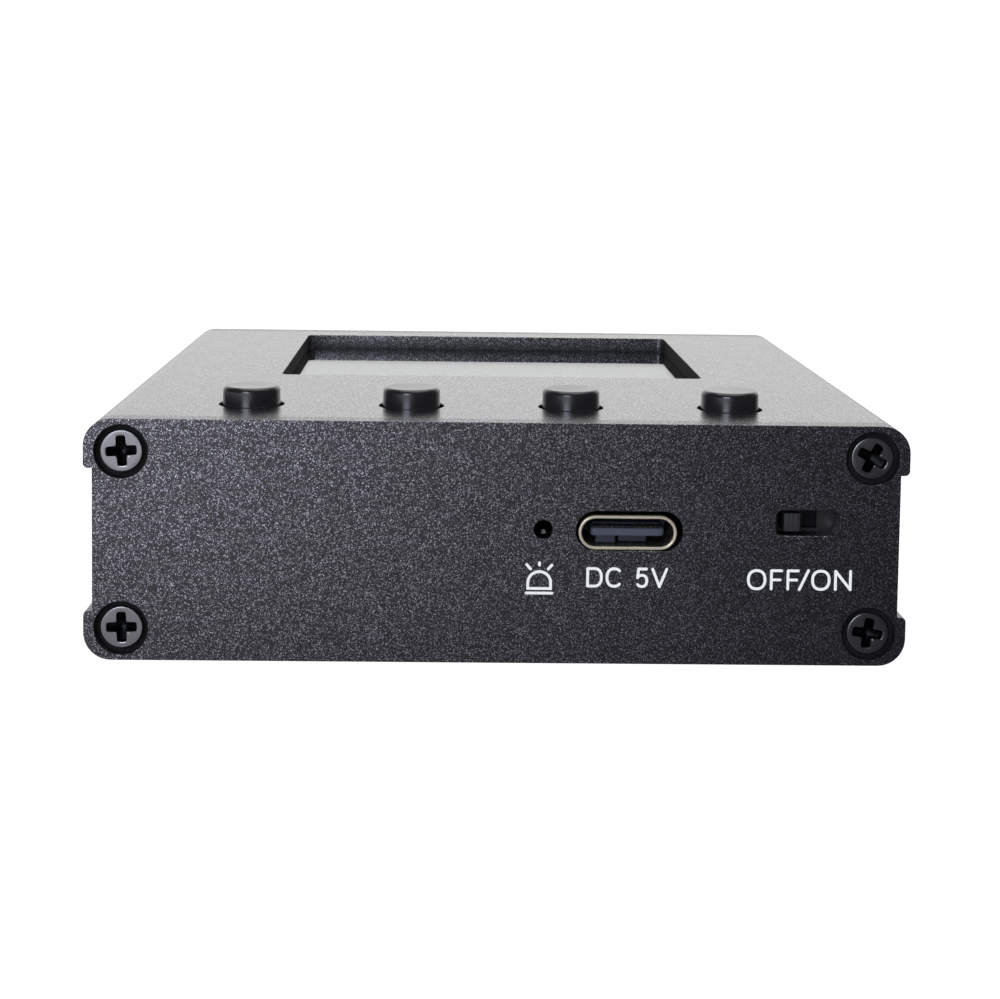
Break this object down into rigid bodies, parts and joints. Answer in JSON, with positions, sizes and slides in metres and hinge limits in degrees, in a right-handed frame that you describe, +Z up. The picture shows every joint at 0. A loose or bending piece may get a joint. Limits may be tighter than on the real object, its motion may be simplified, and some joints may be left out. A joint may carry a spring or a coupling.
{
  "type": "rf signal generator",
  "caption": "Pocket RF signal generator: black aluminium box with screwed end plates, display window, push keys, USB-C port, power slide switch and coaxial output.",
  "frame": {"origin": "middle of the case's length and width, on the flat base that it stands on", "axes": "+X to the right of someone who faces the port end, +Y from the port end to the coaxial output, +Z up through the display"},
  "size_m": [0.0746, 0.0785, 0.0236],
  "materials": {
    "case": "black anodised over fine blasting, satin grain",
    "screw": "black zinc, satin",
    "bright_steel": "nickel plated, satin",
    "gold": "gold plated, satin",
    "key": "smooth, glossy black",
    "black_plastic": "moulded, matt black",
    "pale_plastic": "moulded, natural",
    "window": "clear and glossy, dark behind",
    "lcd": "polariser film, glossy",
    "laminate": "green solder mask",
    "chip": "moulded epoxy, matt",
    "foil": "satin foil",
    "foam": "closed cell foam, matt",
    "polyimide": "amber film",
    "ptfe": "smooth, waxy white",
    "lamp_resin": "clear resin",
    "red_lead": "silicone, satin",
    "black_lead": "silicone, satin"
  },
  "bodies": {
    "case": {"case_shell": "case", "port_panel": "case", "rf_panel": "case", "port_screw_1": "screw", "port_screw_2": "screw", "port_screw_3": "screw", "port_screw_4": "screw", "rf_screw_1": "screw", "rf_screw_2": "screw", "rf_screw_3": "screw", "rf_screw_4": "screw", "main_board": "laminate", "display_board": "laminate", "board_socket": "black_plastic", "board_header": "black_plastic", "usb_shell": "bright_steel", "usb_tongue": "black_plastic", "charge_lamp": "lamp_resin", "switch_cover": "bright_steel", "switch_housing": "black_plastic", "display_window": "window", "lcd_glass": "lcd", "lcd_tray": "foil", "display_tail": "polyimide", "tail_socket": "pale_plastic", "key_housing_1": "black_plastic", "key_housing_2": "black_plastic", "key_housing_3": "black_plastic", "key_housing_4": "black_plastic", "key_plate_1": "bright_steel", "key_plate_2": "bright_steel", "key_plate_3": "bright_steel", "key_plate_4": "bright_steel", "shield_frame": "bright_steel", "shield_lid": "bright_steel", "synthesiser_chip": "chip", "reference_oscillator": "bright_steel", "processor_chip": "chip", "charger_chip": "chip", "power_inductor": "chip", "sma_body": "gold", "sma_dielectric": "ptfe", "sma_contact": "gold", "sma_washer": "bright_steel", "sma_nut": "gold", "battery_cell": "foil", "battery_pad": "foam", "battery_inlet": "pale_plastic", "battery_plug": "pale_plastic", "red_lead": "red_lead", "black_lead": "black_lead"},
    "key_1": {"key_plunger_1": "black_plastic", "key_cap_1": "key"},
    "key_2": {"key_plunger_2": "black_plastic", "key_cap_2": "key"},
    "key_3": {"key_plunger_3": "black_plastic", "key_cap_3": "key"},
    "key_4": {"key_plunger_4": "black_plastic", "key_cap_4": "key"},
    "switch": {"switch_lever": "black_plastic"}
  },
  "joints": [
    {"name": "key_1_press", "type": "slide", "parent": "case", "child": "key_1", "axis": [0, 0, -1], "range_m": [0, 0.0003], "stiffness_N_per_m": 4000},
    {"name": "key_2_press", "type": "slide", "parent": "case", "child": "key_2", "axis": [0, 0, -1], "range_m": [0, 0.0003], "stiffness_N_per_m": 4000},
    {"name": "key_3_press", "type": "slide", "parent": "case", "child": "key_3", "axis": [0, 0, -1], "range_m": [0, 0.0003], "stiffness_N_per_m": 4000},
    {"name": "key_4_press", "type": "slide", "parent": "case", "child": "key_4", "axis": [0, 0, -1], "range_m": [0, 0.0003], "stiffness_N_per_m": 4000},
    {"name": "power_switch_slide", "type": "slide", "parent": "case", "child": "switch", "axis": [1, 0, 0], "range_m": [0, 0.0018]}
  ]
}
